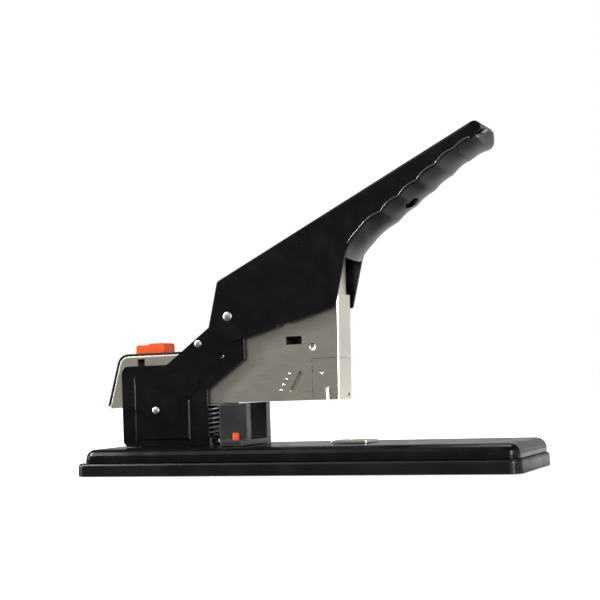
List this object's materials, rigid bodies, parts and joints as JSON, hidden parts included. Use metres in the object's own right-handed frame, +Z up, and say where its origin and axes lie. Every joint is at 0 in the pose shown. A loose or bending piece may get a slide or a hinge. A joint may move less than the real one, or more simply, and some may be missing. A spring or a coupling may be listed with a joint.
{
  "type": "heavy-duty stapler",
  "caption": "Lever-operated desk stapler with a long base, sprung magazine arm, pull-out staple drawer, sliding driver and adjustable paper guide.",
  "frame": {"origin": "on the desk, under the centre of the base, level with the soles of the feet", "axes": "+X along the base towards the operator, +Y across the base, +Z up"},
  "size_m": [0.285, 0.076, 0.2003],
  "materials": {
    "black_paint": "glossy black stoved paint",
    "black_plastic": "satin black moulded plastic",
    "rubber": "matte black rubber",
    "nickel": "nickel-plated steel",
    "steel": "zinc-plated steel",
    "orange": "orange moulded plastic"
  },
  "bodies": {
    "base": {"base_shell": "black_paint", "base_tray": "black_plastic", "rubber_foot_1": "rubber", "rubber_foot_2": "rubber", "rubber_foot_3": "rubber", "rubber_foot_4": "rubber", "tray_screw_1": "steel", "tray_screw_2": "steel", "tray_screw_3": "steel", "tray_screw_4": "steel", "anvil_screw": "nickel", "side_frame_left": "black_paint", "side_frame_right": "black_paint", "frame_screw_1": "steel", "frame_screw_2": "steel", "frame_screw_3": "steel", "frame_screw_4": "steel", "magazine_pivot_pin": "nickel", "magazine_stop_pin": "nickel", "handle_pivot_pin": "nickel", "spring_seat": "steel", "return_spring": "steel"},
    "anvil": {"anvil_plate": "nickel"},
    "magazine": {"magazine_housing": "nickel", "rear_cover": "black_plastic", "spring_plate": "nickel", "spring_shelf": "steel", "driver_spring": "steel"},
    "button": {"release_button": "orange", "latch_hook": "steel"},
    "drawer": {"drawer_channel": "nickel", "drawer_nose": "nickel", "staple_rail": "steel", "staple_strip": "nickel", "pusher_rod": "steel", "pusher_spring": "steel"},
    "pusher": {"pusher": "black_plastic"},
    "driver": {"driver_blade": "nickel", "driver_head": "steel"},
    "handle": {"handle_shell": "black_paint", "grip_insert": "black_plastic", "press_lever": "steel", "handle_rivet_rear": "black_paint", "handle_rivet_front": "black_paint"},
    "guide": {"paper_guide": "black_plastic"},
    "knob": {"guide_knob": "orange"}
  },
  "joints": [
    {"name": "handle_hinge", "type": "hinge", "parent": "base", "child": "handle", "pos_m": [-0.043, 0, 0.0965], "axis": [0, -1, 0], "range_deg": [-30, 0], "stiffness_Nm_per_rad": 1.5, "springref_deg": 20.05},
    {"name": "magazine_hinge", "type": "hinge", "parent": "base", "child": "magazine", "pos_m": [-0.0964, 0, 0.04], "axis": [0, -1, 0], "range_deg": [-11.11, 0], "stiffness_Nm_per_rad": 2, "springref_deg": 11.46, "deforming": ["return_spring"]},
    {"name": "driver_slide", "type": "slide", "parent": "magazine", "child": "driver", "axis": [0.0253, 0, 0.9997], "range_m": [-0.01601, 0], "deforming": ["driver_spring"]},
    {"name": "drawer_slide", "type": "slide", "parent": "magazine", "child": "drawer", "axis": [1, 0, 0], "range_m": [0, 0.09]},
    {"name": "pusher_slide", "type": "slide", "parent": "drawer", "child": "pusher", "axis": [1, 0, 0], "range_m": [-0.035, 0], "stiffness_N_per_m": 30, "springref_m": 0.1, "deforming": ["pusher_spring"]},
    {"name": "button_press", "type": "slide", "parent": "magazine", "child": "button", "axis": [0, 0, 1], "range_m": [-0.003, 0], "stiffness_N_per_m": 600, "springref_m": 0.002},
    {"name": "guide_slide", "type": "slide", "parent": "base", "child": "guide", "axis": [1, 0, 0], "range_m": [-0.008, 0.035]},
    {"name": "knob_turn", "type": "hinge", "parent": "guide", "child": "knob", "pos_m": [-0.0368, -0.021, 0.022], "axis": [0, 0, 1], "range_deg": [0, 270]},
    {"name": "anvil_turn", "type": "hinge", "parent": "base", "child": "anvil", "pos_m": [0.032, 0, 0.018], "axis": [0, 0, 1], "range_deg": [0, 180]}
  ],
  "couplings": [
    {"joint": "magazine_hinge", "follows": "handle_hinge", "ratio": 0.37},
    {"joint": "driver_slide", "follows": "handle_hinge", "m_per_rad": 0.03055}
  ]
}
